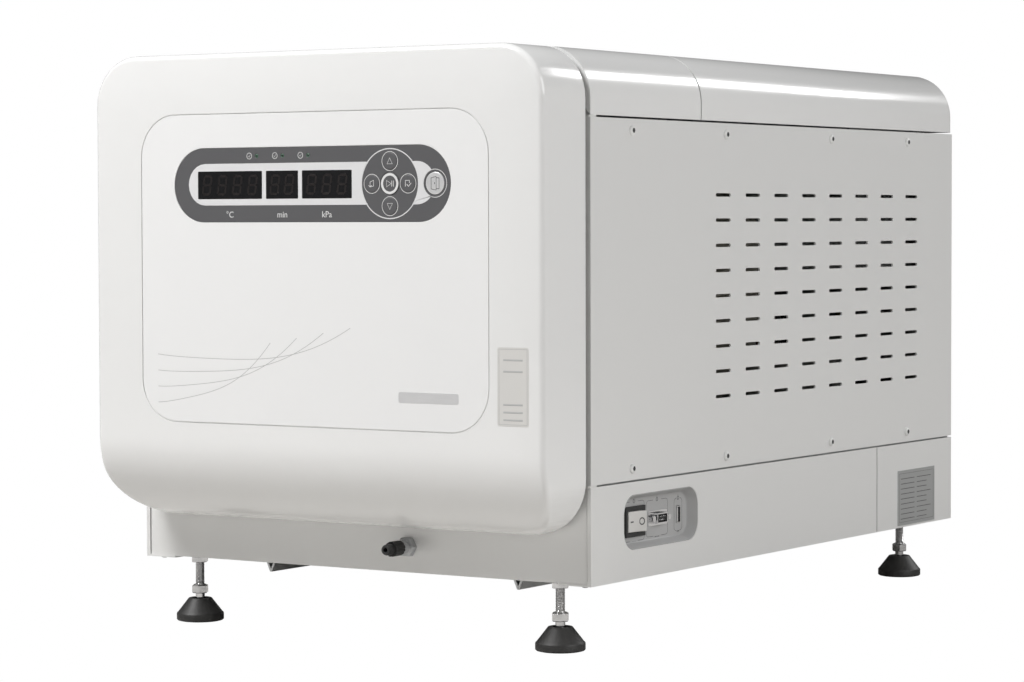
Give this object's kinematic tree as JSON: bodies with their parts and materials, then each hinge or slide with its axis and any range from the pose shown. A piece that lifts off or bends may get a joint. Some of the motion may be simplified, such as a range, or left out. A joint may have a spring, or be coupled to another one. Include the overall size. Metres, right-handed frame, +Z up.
{
  "type": "benchtop autoclave",
  "caption": "Benchtop steam autoclave: side-hinged door with keypad over a horizontal chamber, vented sheet-metal cabinet, hinged tank lid, drain tap and levelling feet.",
  "frame": {"origin": "centre of the part's box on the floor, under the level feet", "axes": "+Z up, the door faces -Y, +X to the right of someone facing the door"},
  "size_m": [0.4584, 0.7676, 0.487],
  "materials": {
    "white_paint": "fine satin powder coat",
    "white_plastic": "smooth light gloss",
    "frame_paint": "satin paint",
    "zinc_sheet": "zinc-plated sheet",
    "bright_steel": "bright plated",
    "plate_metal": "satin printed plate",
    "grey_plastic": "fine grain",
    "keypad_grey": "satin printed film",
    "black_plastic": "moulded, fine grain",
    "chamber_steel": "polished stainless",
    "jacket_wool": "felted mineral wool",
    "cast_metal": "cast, bead-blasted",
    "fin_metal": "bare fins",
    "tank_plastic": "milky moulded",
    "brass_fitting": "turned",
    "copper_tube": "drawn tube",
    "board_green": "printed board",
    "silicone": "silicone rubber"
  },
  "bodies": {
    "cabinet": {"base_tray": "zinc_sheet", "base_front_panel": "white_paint", "base_side_left": "white_paint", "base_side_right": "white_paint", "base_rear_cover": "white_paint", "base_rails": "zinc_sheet", "side_panel_left": "white_paint", "side_panel_right": "white_paint", "rear_panel": "white_paint", "inner_frame": "frame_paint", "top_cover_front": "white_plastic", "fasteners": "bright_steel", "connector_recess": "grey_plastic", "data_ports": "bright_steel", "rocker_bezel": "black_plastic", "rating_plate": "plate_metal", "drain_valve": "bright_steel", "chamber": "chamber_steel", "insulation": "jacket_wool", "tray_rack": "chamber_steel", "steam_generator": "chamber_steel", "vacuum_pump": "cast_metal", "condenser": "fin_metal", "fan_housing": "black_plastic", "water_tanks": "tank_plastic", "valve_block": "brass_fitting", "main_board": "board_green", "power_supply": "cast_metal", "pipework": "copper_tube", "hinge_arms": "zinc_sheet", "lock_housing": "zinc_sheet", "power_inlet": "black_plastic", "rear_fittings": "brass_fitting", "lid_hinges": "bright_steel"},
    "lid": {"top_lid": "white_plastic"},
    "lock_bolt": {"lock_bolt": "bright_steel"},
    "fan": {"fan_rotor": "black_plastic"},
    "rocker": {"rocker": "white_plastic"},
    "drain_knob": {"drain_knob": "black_plastic"},
    "door": {"door_shell": "white_plastic", "door_back_plate": "frame_paint", "door_strike": "zinc_sheet", "pressure_plate": "chamber_steel", "door_seal": "silicone", "keypad_bezel": "keypad_grey", "display_board": "board_green"},
    "key_up": {"key_up": "keypad_grey"},
    "key_down": {"key_down": "keypad_grey"},
    "key_left": {"key_left": "keypad_grey"},
    "key_right": {"key_right": "keypad_grey"},
    "key_start": {"key_start": "keypad_grey"},
    "key_door": {"key_door": "bright_steel"},
    "stud_front_left": {"stud_front_left": "bright_steel"},
    "pad_front_left": {"pad_front_left": "black_plastic"},
    "stud_front_right": {"stud_front_right": "bright_steel"},
    "pad_front_right": {"pad_front_right": "black_plastic"},
    "stud_rear_left": {"stud_rear_left": "bright_steel"},
    "pad_rear_left": {"pad_rear_left": "black_plastic"},
    "stud_rear_right": {"stud_rear_right": "bright_steel"},
    "pad_rear_right": {"pad_rear_right": "black_plastic"}
  },
  "joints": [
    {"name": "door_hinge", "type": "hinge", "parent": "cabinet", "child": "door", "pos_m": [-0.211, -0.3482, 0.292], "axis": [0, 0, -1], "range_deg": [0, 100]},
    {"name": "lid_hinge", "type": "hinge", "parent": "cabinet", "child": "lid", "pos_m": [0, 0.3661, 0.43], "axis": [-1, 0, 0], "range_deg": [0, 100]},
    {"name": "lock_bolt_slide", "type": "slide", "parent": "cabinet", "child": "lock_bolt", "axis": [0, 0, -1], "range_m": [0, 0.014], "stiffness_N_per_m": 150, "springref_m": -0.003},
    {"name": "fan_spin", "type": "hinge", "parent": "cabinet", "child": "fan", "pos_m": [0, 0.3413, 0.205], "axis": [0, 1, 0], "continuous": true},
    {"name": "rocker_tilt", "type": "hinge", "parent": "cabinet", "child": "rocker", "pos_m": [0.214, -0.234, 0.1016], "axis": [0, 0, 1], "range_deg": [0, 18]},
    {"name": "drain_knob_turn", "type": "hinge", "parent": "cabinet", "child": "drain_knob", "pos_m": [0.05, -0.3344, 0.079], "axis": [0, -1, 0], "range_deg": [0, 360]},
    {"name": "key_up_press", "type": "slide", "parent": "door", "child": "key_up", "axis": [0, 1, 0], "range_m": [0, 0.0005], "stiffness_N_per_m": 800},
    {"name": "key_down_press", "type": "slide", "parent": "door", "child": "key_down", "axis": [0, 1, 0], "range_m": [0, 0.0005], "stiffness_N_per_m": 800},
    {"name": "key_left_press", "type": "slide", "parent": "door", "child": "key_left", "axis": [0, 1, 0], "range_m": [0, 0.0005], "stiffness_N_per_m": 800},
    {"name": "key_right_press", "type": "slide", "parent": "door", "child": "key_right", "axis": [0, 1, 0], "range_m": [0, 0.0005], "stiffness_N_per_m": 800},
    {"name": "key_start_press", "type": "slide", "parent": "door", "child": "key_start", "axis": [0, 1, 0], "range_m": [0, 0.0005], "stiffness_N_per_m": 800},
    {"name": "key_door_press", "type": "slide", "parent": "door", "child": "key_door", "axis": [0, 1, 0], "range_m": [0, 0.0005], "stiffness_N_per_m": 800},
    {"name": "foot_front_left_height", "type": "slide", "parent": "cabinet", "child": "stud_front_left", "axis": [0, 0, 1], "range_m": [-0.01, 0.019]},
    {"name": "pad_front_left_swivel", "type": "hinge", "parent": "stud_front_left", "child": "pad_front_left", "pos_m": [-0.185, -0.2952, 0.011], "axis": [1, 0, 0], "range_deg": [-8, 8]},
    {"name": "foot_front_right_height", "type": "slide", "parent": "cabinet", "child": "stud_front_right", "axis": [0, 0, 1], "range_m": [-0.01, 0.019]},
    {"name": "pad_front_right_swivel", "type": "hinge", "parent": "stud_front_right", "child": "pad_front_right", "pos_m": [0.185, -0.2952, 0.011], "axis": [1, 0, 0], "range_deg": [-8, 8]},
    {"name": "foot_rear_left_height", "type": "slide", "parent": "cabinet", "child": "stud_rear_left", "axis": [0, 0, 1], "range_m": [-0.01, 0.032]},
    {"name": "pad_rear_left_swivel", "type": "hinge", "parent": "stud_rear_left", "child": "pad_rear_left", "pos_m": [-0.185, 0.3318, 0.011], "axis": [1, 0, 0], "range_deg": [-8, 8]},
    {"name": "foot_rear_right_height", "type": "slide", "parent": "cabinet", "child": "stud_rear_right", "axis": [0, 0, 1], "range_m": [-0.01, 0.032]},
    {"name": "pad_rear_right_swivel", "type": "hinge", "parent": "stud_rear_right", "child": "pad_rear_right", "pos_m": [0.185, 0.3318, 0.011], "axis": [1, 0, 0], "range_deg": [-8, 8]}
  ]
}
